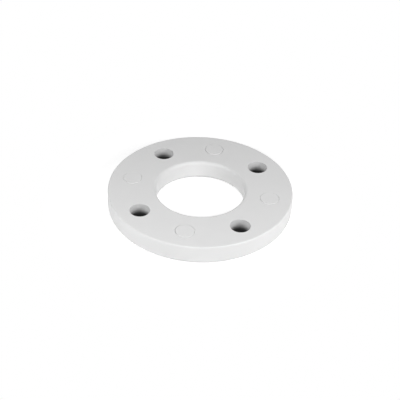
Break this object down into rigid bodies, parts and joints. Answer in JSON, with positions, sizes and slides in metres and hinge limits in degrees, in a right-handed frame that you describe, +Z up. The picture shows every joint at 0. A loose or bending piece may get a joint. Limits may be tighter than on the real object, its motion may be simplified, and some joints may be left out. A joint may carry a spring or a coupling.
{
  "type": "pipe flange",
  "caption": "Loose backing flange for a plastic pipe joint: a flat moulded ring with a rounded bore and rim, plain bolt holes and low round pads between them.",
  "frame": {"origin": "centre of the bore at the lower face, which lies on the ground", "axes": "+Z up along the bore's axis, out of the face with the pads; +X and +Y run through pads, and the bolt holes lie astride them at 45 degrees"},
  "size_m": [0.165, 0.165, 0.0183],
  "materials": {
    "light_grey_pvc": "satin, as moulded"
  },
  "bodies": {
    "root": {"flange": "light_grey_pvc"}
  },
  "joints": []
}
